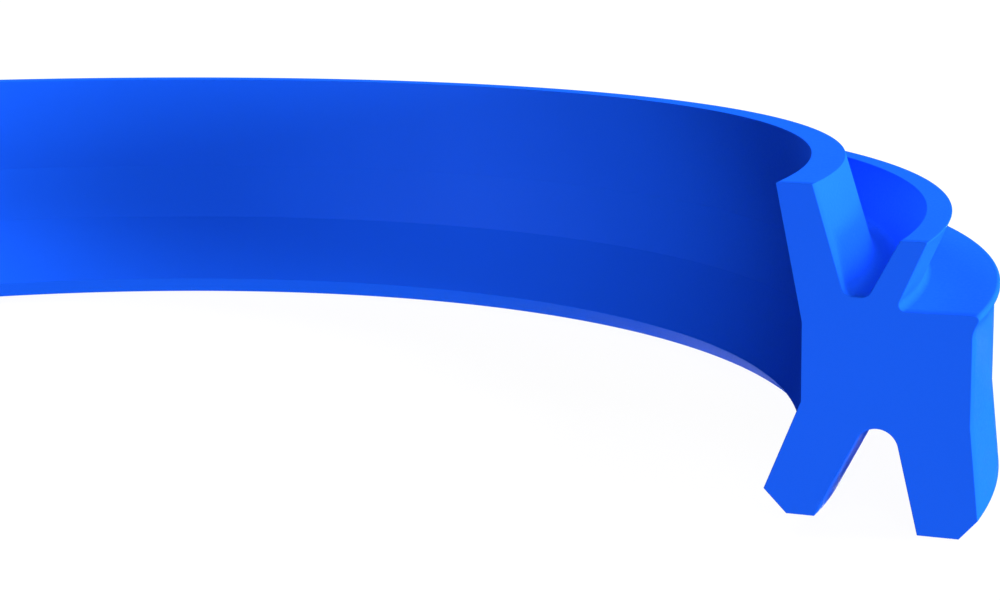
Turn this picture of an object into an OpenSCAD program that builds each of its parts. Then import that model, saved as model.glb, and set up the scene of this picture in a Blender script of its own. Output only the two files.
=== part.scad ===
// Double-acting rod wiper seal: one moulded polyurethane ring, cut open to show its lipped section.
// Millimetres. The ring's axis is +Z, the static lip's foot stands on z = 0, and the cut-out faces -Y.

/* [Ring] */
// Angle of ring that is left standing; 360 closes the ring
ring_sweep = 270; // [180:5:360]
// Diameter of the rod that the lips wipe
rod_d = 50; // [30:1:120]
// Radial depth of the housing groove, from the rod to the groove's wall
housing_depth = 5; // [4.6:0.05:7]
// Height of the shoulder above the foot
body_h = 6.06; // [5.7:0.02:7]

/* [Bore land] */
// Radial gap between the rod and the bore land
bore_gap = 0.37; // [0.2:0.01:0.6]
// Height of the bore land's lower edge above the foot
bore_land_z = 3.42; // [3:0.02:3.8]
// Height of the bore land itself
bore_land_h = 2.18; // [1.6:0.02:2.6]

/* [Wiper lip] */
// Height of the wiper lip above the shoulder
wiper_h = 3.26; // [2.6:0.02:4]
// Radial grip of the wiper lip's edge on the rod
wiper_grip = 0.39; // [0.1:0.01:0.7]
// Width of the wiper lip's flat top
wiper_top_w = 1.02; // [0.7:0.01:1.3]
// Lean of the wiper lip's outer wall
wiper_back_angle = 17.1; // [10:0.1:22]

/* [Dirt groove] */
// Height of the groove's floor above the shoulder
dirt_groove_h = 0.31; // [0.1:0.01:0.6]
// Width of the floor between the feet of its two walls
dirt_groove_w = 0.64; // [0.5:0.01:1]
// Radius of the rounds at the floor's two sides
dirt_groove_round = 0.3; // [0.1:0.01:0.34]

/* [Guard lip] */
// Height of the guard lip above the shoulder
guard_h = 1.86; // [1.3:0.02:2.4]
// Width of the guard lip's flat top
guard_top_w = 0.74; // [0.5:0.01:1]
// Lean of the guard lip's inner wall
guard_in_angle = 28.3; // [20:0.1:34]
// Lean of the guard lip's outer wall
guard_out_angle = 24; // [12:0.1:28]
// Radius of the round where the outer wall meets the shoulder
notch_round = 0.18; // [0.08:0.01:0.28]

/* [Bead] */
// How far the bead stands proud of the static land
bead_proud = 0.16; // [0.1:0.01:0.25]
// Radius of the bead's nose
bead_round = 0.12; // [0.08:0.01:0.16]
// Height of the bead, from the shoulder down to the static land
bead_h = 0.46; // [0.4:0.01:0.7]
// Radius of the blend between the bead and the static land
bead_blend = 0.7; // [0.3:0.05:1]

/* [Static lip] */
// Height of the flared static lip
static_lip_h = 3.07; // [2.4:0.01:3.6]
// How far the static lip flares past the static land
static_flare = 0.26; // [0.1:0.01:0.45]
// Width of the chamfer under the lip's edge
static_chamfer_w = 0.5; // [0.2:0.01:0.8]
// Height of the chamfer under the lip's edge
static_chamfer_h = 0.55; // [0.2:0.01:0.9]
// Width of the flat foot
static_foot_w = 1.13; // [0.8:0.01:1.4]

/* [Seal lip] */
// Radial grip of the seal lip's edge on the rod
seal_grip = 0.66; // [0.3:0.01:0.9]
// Height of the seal lip's foot above the static lip's foot
seal_lift = 0.26; // [0.1:0.01:0.6]
// Width and height of the chamfer under the seal lip's edge
seal_chamfer = 0.65; // [0.3:0.01:0.9]
// Width of the seal lip's flat foot
seal_foot_w = 0.79; // [0.5:0.01:1]

/* [Pressure groove] */
// Height of the groove's roof above the foot
pressure_groove_h = 2.83; // [2.3:0.01:3.4]
// Radius of the groove's round roof
pressure_groove_round = 0.6; // [0.4:0.01:0.7]
// Thickness of the seal lip at its root, beside the roof
seal_root_w = 1.51; // [1.2:0.01:1.9]

/* [Hidden] */
$fn = 144;
seal_blue = [0.08, 0.37, 0.95];
// Depth to which a round is let into the straight walls beside it, so that they meet on one clean edge
let_in = 0.001;
// How many radii the waste piece outside the bead's nose reaches
trim_reach = 2;

// Radii and heights that the corners share
rod_r = rod_d / 2;
bore_r = rod_r + bore_gap;
land_r = rod_r + housing_depth;
wiper_z = body_h + wiper_h;
guard_z = body_h + guard_h;
floor_z = body_h + dirt_groove_h;

// Corners of the section as [radius, height], from the wiper lip over the top and back under the foot
wiper_in = [rod_r - wiper_grip, wiper_z];
wiper_out = wiper_in + [wiper_top_w, 0];
floor_in = [wiper_out.x + (wiper_z - floor_z) * tan(wiper_back_angle), floor_z];
floor_out = floor_in + [dirt_groove_w, 0];
guard_in = [floor_out.x + (guard_z - floor_z) * tan(guard_in_angle), guard_z];
guard_out = guard_in + [guard_top_w, 0];
notch = [guard_out.x - (guard_z - body_h) * tan(guard_out_angle), body_h];
bead_centre = [land_r + bead_proud - bead_round, body_h - bead_round];
bead_top = bead_centre + [0, bead_round];
land_high = [land_r, body_h - bead_h];
land_low = [land_r, static_lip_h];
static_tip = [land_r + static_flare, static_chamfer_h];
static_foot_out = [static_tip.x - static_chamfer_w, 0];
static_foot_in = static_foot_out - [static_foot_w, 0];
seal_tip = [rod_r - seal_grip, seal_lift + seal_chamfer];
seal_foot_in = seal_tip + [seal_chamfer, -seal_chamfer];
seal_foot_out = seal_foot_in + [seal_foot_w, 0];
bore_low = [bore_r, bore_land_z];
bore_high = bore_low + [0, bore_land_h];

// A vector's direction, and a vector turned by an angle
function unit(v) = v / norm(v);
function turned(v, angle) = [v.x * cos(angle) - v.y * sin(angle), v.x * sin(angle) + v.y * cos(angle)];

// Where a straight wall from a point runs out on a round.
// Side is 1 or -1: left or right of the line from the round's centre to the point.
function run_out(point, centre, radius, side) =
    let (away = point - centre)
    centre + radius * turned(unit(away), side * acos(radius / norm(away)));

// Centre of the round that fills the corner between the walls to two other points
function corner_centre(before, corner, after, radius) =
    let (a = unit(before - corner), b = unit(after - corner), half = acos(a * b) / 2)
    corner + unit(a + b) * radius / sin(half);

// Foot of a round on the wall from a corner towards another point
function round_foot(corner, towards, centre) =
    let (wall = unit(towards - corner))
    corner + wall * ((centre - corner) * wall);

// Rounds of the section
roof_centre = [bore_r + seal_root_w + pressure_groove_round, pressure_groove_h - pressure_groove_round];
roof_out = run_out(static_foot_in, roof_centre, pressure_groove_round, 1);
roof_in = run_out(seal_foot_out, roof_centre, pressure_groove_round, -1);
bead_under = run_out(land_high, bead_centre, bead_round, 1);
bead_lean = (bead_under.x - land_high.x) / (bead_under.y - land_high.y);
bead_corner = land_high + [bead_h * bead_lean, bead_h];
floor_in_centre = corner_centre(wiper_out, floor_in, floor_out, dirt_groove_round);
floor_out_centre = corner_centre(floor_in, floor_out, guard_in, dirt_groove_round);
notch_centre = corner_centre(guard_out, notch, bead_top, notch_round);
blend_centre = corner_centre(bead_under, land_high, land_low, bead_blend);

// A full round about a centre in the section
module disc(centre, radius) {
    translate(centre) circle(r = radius + let_in);
}

// The waste outside the bead's nose, from the bead's sharp corner in to its round
module bead_waste() {
    difference() {
        polygon([
            for (p = [bead_centre, bead_top, bead_corner, bead_under])
                bead_centre + (p - bead_centre) * trim_reach
        ]);
        disc(bead_centre, bead_round);
    }
}

// Straight walls of the section, with each rounded corner cut across between the feet of its round
module straight_section() {
    polygon([
        wiper_in,
        wiper_out,
        round_foot(floor_in, wiper_out, floor_in_centre),
        round_foot(floor_in, floor_out, floor_in_centre),
        round_foot(floor_out, floor_in, floor_out_centre),
        round_foot(floor_out, guard_in, floor_out_centre),
        guard_in,
        guard_out,
        round_foot(notch, guard_out, notch_centre),
        round_foot(notch, bead_top, notch_centre),
        bead_corner,
        round_foot(land_high, bead_under, blend_centre),
        round_foot(land_high, land_low, blend_centre),
        land_low,
        static_tip,
        static_foot_out,
        static_foot_in,
        roof_out,
        roof_in,
        seal_foot_out,
        seal_foot_in,
        seal_tip,
        bore_low,
        bore_high
    ]);
}

// The whole section: the bead's nose is rounded off, and the hollow rounds are taken out
module section() {
    difference() {
        straight_section();
        bead_waste();
        disc(floor_in_centre, dirt_groove_round);
        disc(floor_out_centre, dirt_groove_round);
        disc(notch_centre, notch_round);
        disc(blend_centre, bead_blend);
        disc(roof_centre, pressure_groove_round);
    }
}

// The moulded ring, with its cut-out centred on -Y
module wiper_seal() {
    color(seal_blue)
        rotate([0, 0, 90 - ring_sweep / 2])
            rotate_extrude(angle = ring_sweep)
                section();
}

wiper_seal();
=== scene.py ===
# Looks of the wiper seal: a finely revolved polyurethane ring on a pale floor, seen as in the photograph.
import math

import bmesh
import bpy
from mathutils import Matrix, Vector


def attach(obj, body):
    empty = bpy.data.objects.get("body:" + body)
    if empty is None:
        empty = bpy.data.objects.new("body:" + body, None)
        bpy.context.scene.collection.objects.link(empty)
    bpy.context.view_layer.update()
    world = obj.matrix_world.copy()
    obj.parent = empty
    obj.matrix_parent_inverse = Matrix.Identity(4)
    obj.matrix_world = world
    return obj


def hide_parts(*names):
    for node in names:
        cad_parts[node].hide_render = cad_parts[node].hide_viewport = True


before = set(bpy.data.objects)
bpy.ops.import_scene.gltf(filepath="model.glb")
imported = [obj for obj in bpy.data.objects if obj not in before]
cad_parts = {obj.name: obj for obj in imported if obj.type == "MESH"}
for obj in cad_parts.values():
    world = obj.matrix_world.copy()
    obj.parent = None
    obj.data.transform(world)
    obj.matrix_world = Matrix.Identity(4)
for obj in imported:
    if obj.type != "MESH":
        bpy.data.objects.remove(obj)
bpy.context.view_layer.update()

MM = 0.001

# Sizes of the section in millimetres, as the ring is modelled
ROD_R = 25.0
HOUSING_DEPTH = 5.0
BODY_H = 6.06
BORE_GAP = 0.37
BORE_LAND_Z = 3.42
BORE_LAND_H = 2.18
WIPER_H = 3.26
WIPER_GRIP = 0.39
WIPER_TOP_W = 1.02
WIPER_BACK_ANGLE = 17.1
DIRT_GROOVE_H = 0.31
DIRT_GROOVE_W = 0.64
DIRT_GROOVE_ROUND = 0.3
GUARD_H = 1.86
GUARD_TOP_W = 0.74
GUARD_IN_ANGLE = 28.3
GUARD_OUT_ANGLE = 24.0
NOTCH_ROUND = 0.18
BEAD_PROUD = 0.16
BEAD_ROUND = 0.12
BEAD_H = 0.46
BEAD_BLEND = 0.7
STATIC_LIP_H = 3.07
STATIC_FLARE = 0.26
STATIC_CHAMFER_W = 0.5
STATIC_CHAMFER_H = 0.55
STATIC_FOOT_W = 1.13
SEAL_GRIP = 0.66
SEAL_LIFT = 0.26
SEAL_CHAMFER = 0.65
SEAL_FOOT_W = 0.79
PRESSURE_GROOVE_H = 2.83
PRESSURE_GROOVE_ROUND = 0.6
SEAL_ROOT_W = 1.51

# The ring's sweep, with its gap centred on -Y
CUT_SWEEP = math.radians(270.0)
CUT_START = math.radians(90.0) - CUT_SWEEP / 2
SWEEP_STEPS = 270

# The fine finish of the edges in millimetres, and the steps of the rounds
EDGE_ROUND = 0.02
EDGE_HOLD = 0.03
EDGE_STEPS = 4
ARC_STEP = math.radians(6.0)
ARC_STEPS_MIN = 2
CUT_EDGE = 0.012


def lean_reach(angle_degrees, height):
    """Sideways reach of a wall that leans by an angle over a height."""
    return height * math.tan(math.radians(angle_degrees))


def tangent_direction(point, centre, radius, side):
    """Direction of the line from a point that touches a round on one side of its centre."""
    away = centre - point
    turn = side * math.asin(radius / away.length)
    return (Matrix.Rotation(turn, 2) @ away).normalized()


def crossing(p, u, q, v):
    """Where the line from p along u meets the line from q along v."""
    t = (q - p).cross(v) / u.cross(v)
    return p + u * t


def section_corners():
    """Corners of the section as (point, round), from the wiper lip over the top and back under the foot."""
    bore_r = ROD_R + BORE_GAP
    land_r = ROD_R + HOUSING_DEPTH
    wiper_z = BODY_H + WIPER_H
    guard_z = BODY_H + GUARD_H
    floor_z = BODY_H + DIRT_GROOVE_H
    wiper_in = Vector((ROD_R - WIPER_GRIP, wiper_z))
    wiper_out = wiper_in + Vector((WIPER_TOP_W, 0))
    floor_in = Vector((wiper_out.x + lean_reach(WIPER_BACK_ANGLE, wiper_z - floor_z), floor_z))
    floor_out = floor_in + Vector((DIRT_GROOVE_W, 0))
    guard_in = Vector((floor_out.x + lean_reach(GUARD_IN_ANGLE, guard_z - floor_z), guard_z))
    guard_out = guard_in + Vector((GUARD_TOP_W, 0))
    notch = Vector((guard_out.x - lean_reach(GUARD_OUT_ANGLE, guard_z - BODY_H), BODY_H))
    bead_centre = Vector((land_r + BEAD_PROUD - BEAD_ROUND, BODY_H - BEAD_ROUND))
    land_high = Vector((land_r, BODY_H - BEAD_H))
    under_bead = tangent_direction(land_high, bead_centre, BEAD_ROUND, -1)
    bead_corner = land_high + under_bead * (BEAD_H / under_bead.y)
    land_low = Vector((land_r, STATIC_LIP_H))
    static_tip = Vector((land_r + STATIC_FLARE, STATIC_CHAMFER_H))
    static_foot_out = Vector((static_tip.x - STATIC_CHAMFER_W, 0))
    static_foot_in = static_foot_out - Vector((STATIC_FOOT_W, 0))
    seal_tip = Vector((ROD_R - SEAL_GRIP, SEAL_LIFT + SEAL_CHAMFER))
    seal_foot_in = seal_tip + Vector((SEAL_CHAMFER, -SEAL_CHAMFER))
    seal_foot_out = seal_foot_in + Vector((SEAL_FOOT_W, 0))
    roof_r = bore_r + SEAL_ROOT_W + PRESSURE_GROOVE_ROUND
    roof_centre = Vector((roof_r, PRESSURE_GROOVE_H - PRESSURE_GROOVE_ROUND))
    static_wall = tangent_direction(static_foot_in, roof_centre, PRESSURE_GROOVE_ROUND, -1)
    seal_wall = tangent_direction(seal_foot_out, roof_centre, PRESSURE_GROOVE_ROUND, 1)
    roof_peak = crossing(static_foot_in, static_wall, seal_foot_out, seal_wall)
    bore_low = Vector((bore_r, BORE_LAND_Z))
    bore_high = bore_low + Vector((0, BORE_LAND_H))
    return [
        (wiper_in, EDGE_ROUND),
        (wiper_out, EDGE_ROUND),
        (floor_in, DIRT_GROOVE_ROUND),
        (floor_out, DIRT_GROOVE_ROUND),
        (guard_in, EDGE_ROUND),
        (guard_out, EDGE_ROUND),
        (notch, NOTCH_ROUND),
        (bead_corner, BEAD_ROUND),
        (land_high, BEAD_BLEND),
        (land_low, EDGE_ROUND),
        (static_tip, EDGE_ROUND),
        (static_foot_out, EDGE_ROUND),
        (static_foot_in, EDGE_ROUND),
        (roof_peak, PRESSURE_GROOVE_ROUND),
        (seal_foot_out, EDGE_ROUND),
        (seal_foot_in, EDGE_ROUND),
        (seal_tip, EDGE_ROUND),
        (bore_low, EDGE_ROUND),
        (bore_high, EDGE_ROUND),
    ]


def rounded_corner(before, corner, after, radius):
    """Points along one rounded corner. Beside a fine edge, one more point keeps each wall flat."""
    a = (before - corner).normalized()
    b = (after - corner).normalized()
    half = a.angle(b) / 2
    reach = radius / math.tan(half)
    centre = corner + (a + b).normalized() * (radius / math.sin(half))
    start = corner + a * reach - centre
    turn = (math.pi - 2 * half) * (1 if a.cross(b) > 0 else -1)
    fine = radius == EDGE_ROUND
    steps = EDGE_STEPS if fine else max(ARC_STEPS_MIN, math.ceil(abs(turn) / ARC_STEP))
    points = [centre + Matrix.Rotation(-turn * i / steps, 2) @ start for i in range(steps + 1)]
    if fine:
        points = [points[0] + a * EDGE_HOLD, *points, points[-1] + b * EDGE_HOLD]
    return points


def section_outline():
    """The whole outline of the section, with every corner rounded."""
    corners = section_corners()
    outline = []
    for i, (corner, radius) in enumerate(corners):
        before = corners[i - 1][0]
        after = corners[(i + 1) % len(corners)][0]
        outline.extend(rounded_corner(before, corner, after, radius))
    return outline


def inset(outline, depth):
    """The outline moved inwards by a small depth."""
    moved = []
    for i, point in enumerate(outline):
        run = (outline[(i + 1) % len(outline)] - outline[i - 1]).normalized()
        moved.append(point + Vector((run.y, -run.x)) * depth)
    return moved


def ring_slices(outline):
    """The sections along the sweep as (angle, outline), with a broken edge at both cut faces."""
    edge_turn = CUT_EDGE / (ROD_R + HOUSING_DEPTH / 2)
    narrow = inset(outline, CUT_EDGE)
    slices = [(CUT_START, narrow)]
    for i in range(SWEEP_STEPS + 1):
        share = i / SWEEP_STEPS
        angle = CUT_START + edge_turn + (CUT_SWEEP - 2 * edge_turn) * share
        slices.append((angle, outline))
    slices.append((CUT_START + CUT_SWEEP, narrow))
    return slices


def make_ring(moulded, cut):
    """The ring as one closed mesh, with its own finish on the two cut faces."""
    bm = bmesh.new()
    rings = []
    for angle, outline in ring_slices(section_outline()):
        out = Vector((math.cos(angle), math.sin(angle), 0))
        rings.append([bm.verts.new((out * p.x + Vector((0, 0, p.y))) * MM) for p in outline])
    count = len(rings[0])
    for low, high in zip(rings, rings[1:]):
        for i in range(count):
            j = (i + 1) % count
            face = bm.faces.new((low[i], low[j], high[j], high[i]))
            face.smooth = True
    for ring in (rings[0], rings[-1]):
        cap = bm.faces.new(ring)
        cap.material_index = 1
        for edge in cap.edges:
            edge.smooth = False
    bm.normal_update()
    bmesh.ops.recalc_face_normals(bm, faces=bm.faces)
    mesh = bpy.data.meshes.new("seal_ring")
    bm.to_mesh(mesh)
    bm.free()
    mesh.materials.append(moulded)
    mesh.materials.append(cut)
    ring = bpy.data.objects.new("seal_ring", mesh)
    bpy.context.scene.collection.objects.link(ring)
    return ring


# Colours and finish of the polyurethane, with sizes and depths in millimetres
BLUE_DEEP = (0.0068, 0.088, 0.71, 1)
BLUE_LIGHT = (0.0082, 0.097, 0.76, 1)
SPECULAR_LEVEL = 0.3
ROUGH_LOW = 0.46
ROUGH_HIGH = 0.6
CLOUD_SIZE = 6.0
CLOUD_DETAIL = 3
FINE_DETAIL = 2
GRAIN_SIZE = 0.09
GRAIN_DEPTH = 0.0016
TURNING_SIZE = 0.16
TURNING_DEPTH = 0.0012
CUT_MARK_SIZE = 0.11
CUT_MARK_LENGTH = 5.0
CUT_MARK_DEPTH = 0.002


def add_node(tree, kind, **settings):
    """A new node with its settings."""
    node = tree.nodes.new(kind)
    for name, value in settings.items():
        setattr(node, name, value)
    return node


def object_place(tree):
    """Place on the ring in metres."""
    return add_node(tree, "ShaderNodeTexCoord").outputs["Object"]


def section_place(tree, across, along_axis):
    """Place on the ring as (radius, height), counted in a mark's size across the ring and along its axis."""
    place = object_place(tree)
    flat = add_node(tree, "ShaderNodeVectorMath", operation="MULTIPLY")
    flat.inputs[1].default_value = (1, 1, 0)
    tree.links.new(place, flat.inputs[0])
    radius = add_node(tree, "ShaderNodeVectorMath", operation="LENGTH")
    tree.links.new(flat.outputs["Vector"], radius.inputs[0])
    height = add_node(tree, "ShaderNodeSeparateXYZ")
    tree.links.new(place, height.inputs["Vector"])
    both = add_node(tree, "ShaderNodeCombineXYZ")
    tree.links.new(radius.outputs["Value"], both.inputs["X"])
    tree.links.new(height.outputs["Z"], both.inputs["Y"])
    scaled = add_node(tree, "ShaderNodeVectorMath", operation="MULTIPLY")
    scaled.inputs[1].default_value = (1 / (across * MM), 1 / (along_axis * MM), 0)
    tree.links.new(both.outputs["Vector"], scaled.inputs[0])
    return scaled.outputs["Vector"]


def noise(tree, place, size, detail):
    """A noise whose features are about a size, in the units of its place."""
    node = add_node(tree, "ShaderNodeTexNoise")
    node.inputs["Scale"].default_value = 1 / size
    node.inputs["Detail"].default_value = detail
    tree.links.new(place, node.inputs["Vector"])
    return node.outputs["Fac"]


def bump(tree, height, depth, below=None):
    """A bump of a depth in millimetres, over another bump where there is one."""
    node = add_node(tree, "ShaderNodeBump")
    node.inputs["Distance"].default_value = depth * MM
    tree.links.new(height, node.inputs["Height"])
    if below:
        tree.links.new(below, node.inputs["Normal"])
    return node.outputs["Normal"]


def make_polyurethane(name, marks):
    """Satin blue polyurethane with faint clouds, a fine grain and one kind of tool marks."""
    material = bpy.data.materials.new(name)
    material.use_nodes = True
    tree = material.node_tree
    shader = tree.nodes["Principled BSDF"]
    shader.inputs["Specular IOR Level"].default_value = SPECULAR_LEVEL
    clouds = noise(tree, object_place(tree), CLOUD_SIZE * MM, CLOUD_DETAIL)
    colour = add_node(tree, "ShaderNodeMix", data_type="RGBA")
    tree.links.new(clouds, colour.inputs["Factor"])
    colour.inputs["A"].default_value = BLUE_DEEP
    colour.inputs["B"].default_value = BLUE_LIGHT
    tree.links.new(colour.outputs["Result"], shader.inputs["Base Color"])
    grain = noise(tree, object_place(tree), GRAIN_SIZE * MM, FINE_DETAIL)
    rough = add_node(tree, "ShaderNodeMapRange")
    tree.links.new(grain, rough.inputs["Value"])
    rough.inputs["To Min"].default_value = ROUGH_LOW
    rough.inputs["To Max"].default_value = ROUGH_HIGH
    tree.links.new(rough.outputs["Result"], shader.inputs["Roughness"])
    across, along_axis, depth = marks
    lines = noise(tree, section_place(tree, across, along_axis), 1, FINE_DETAIL)
    normal = bump(tree, grain, GRAIN_DEPTH, bump(tree, lines, depth))
    tree.links.new(normal, shader.inputs["Normal"])
    return material


moulded = make_polyurethane("polyurethane_moulded", (TURNING_SIZE, TURNING_SIZE, TURNING_DEPTH))
cut = make_polyurethane("polyurethane_cut", (CUT_MARK_LENGTH, CUT_MARK_SIZE, CUT_MARK_DEPTH))

ring = make_ring(moulded, cut)
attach(ring, "root")
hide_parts("wiper_seal")

# Camera, solved from the photograph's ring curves and cut face
CAMERA_AT = Vector((-8.841, -66.41, 16.667)) * MM
CAMERA_HEADING = math.radians(64.438)
CAMERA_PITCH = math.radians(-10.724)
CLIP_NEAR = 0.001
CLIP_FAR = 100
SENSOR_W = 36.0

# The photograph's width, focal length and optical axis across its width, in pixels
IMAGE_W = 1000
FOCAL_PX = 2110.4
AXIS_PX = 680.0


def make_camera():
    """The camera at the photograph's angle."""
    data = bpy.data.cameras.new("camera")
    data.sensor_fit = "HORIZONTAL"
    data.sensor_width = SENSOR_W
    data.lens = FOCAL_PX * SENSOR_W / IMAGE_W
    data.shift_x = (IMAGE_W / 2 - AXIS_PX) / IMAGE_W
    data.clip_start = CLIP_NEAR
    data.clip_end = CLIP_FAR
    camera = bpy.data.objects.new("camera", data)
    level = Vector((math.cos(CAMERA_HEADING), math.sin(CAMERA_HEADING), 0)) * math.cos(CAMERA_PITCH)
    forward = level + Vector((0, 0, math.sin(CAMERA_PITCH)))
    camera.location = CAMERA_AT
    camera.rotation_euler = forward.to_track_quat("-Z", "Y").to_euler()
    bpy.context.scene.collection.objects.link(camera)
    bpy.context.scene.camera = camera


# Soft lights that the gloss leaves out, as (name, heading, height, width, strength), with angles in degrees
LIGHTS = [
    ("key", -28, 30, 28, 0.65),
    ("key_high", -18, 40, 28, 0.9),
    ("side", 0, 0, 40, 1.3),
    ("right", -64, 0, 12, 0.55),
    ("front_right", -72, 0, 12, 0.35),
    ("front_low", -110, -30, 24, 0.5),
    ("front_high", -110, 45, 24, 0.25),
    ("front_left", -133, 0, 14, 0.25),
    ("back_right", 35, 20, 26, 1.05),
    ("back", 80, 20, 26, 1.5),
    ("below", 0, -90, 4, 0.5),
]
# Faint lights that only the gloss shows, in the same form
SHEENS = [
    ("floor_sheen", 76, -35, 30, 0.05),
    ("left_sheen", -175, -12, 20, 0.05),
    ("groove_sheen", 42, -24, 18, 0.025),
]
# The floor's radius in metres, and its glow under a dark coat that takes the shadow
FLOOR_R = 4.0
FLOOR_SIDES = 64
FLOOR_GLOW = 0.97
FLOOR_COAT = (0.06, 0.06, 0.06, 1)
WHITE = (1, 1, 1, 1)


def make_light(name, heading, height, width, strength):
    """A wide, far light of a strength that shows a white surface facing it at that brightness."""
    data = bpy.data.lights.new(name, "SUN")
    data.angle = math.radians(width)
    data.energy = math.pi * strength
    # With this on, lights that the gloss leaves out still tint it
    data.cycles.use_multiple_importance_sampling = False
    light = bpy.data.objects.new(name, data)
    turn = math.radians(heading)
    rise = math.radians(height)
    towards = Vector((math.cos(rise) * math.cos(turn), math.cos(rise) * math.sin(turn), math.sin(rise)))
    light.rotation_euler = towards.to_track_quat("Z", "Y").to_euler()
    bpy.context.scene.collection.objects.link(light)
    return light


def make_floor():
    """A plain glowing white floor that takes a faint shadow and throws no light on the ring."""
    bm = bmesh.new()
    bmesh.ops.create_circle(bm, cap_ends=True, segments=FLOOR_SIDES, radius=FLOOR_R)
    mesh = bpy.data.meshes.new("floor")
    bm.to_mesh(mesh)
    bm.free()
    material = bpy.data.materials.new("floor_white")
    material.use_nodes = True
    # The glow is only seen, so it isn't sampled as a light
    material.cycles.emission_sampling = "NONE"
    shader = material.node_tree.nodes["Principled BSDF"]
    shader.inputs["Base Color"].default_value = FLOOR_COAT
    shader.inputs["Roughness"].default_value = 1
    shader.inputs["Specular IOR Level"].default_value = 0
    shader.inputs["Emission Color"].default_value = WHITE
    shader.inputs["Emission Strength"].default_value = FLOOR_GLOW
    mesh.materials.append(material)
    floor = bpy.data.objects.new("floor", mesh)
    floor.visible_diffuse = False
    floor.visible_glossy = False
    floor.visible_shadow = False
    bpy.context.scene.collection.objects.link(floor)


def make_backdrop():
    """A plain white world that is seen and throws no light on the ring."""
    world = bpy.data.worlds.new("backdrop")
    bpy.context.scene.world = world
    world.use_nodes = True
    world.node_tree.nodes["Background"].inputs["Color"].default_value = WHITE
    world.cycles_visibility.diffuse = False
    world.cycles_visibility.glossy = False


make_camera()
make_floor()
make_backdrop()
for light in LIGHTS:
    make_light(*light).visible_glossy = False
for sheen in SHEENS:
    make_light(*sheen).visible_diffuse = False
bpy.context.scene.view_settings.view_transform = "Standard"
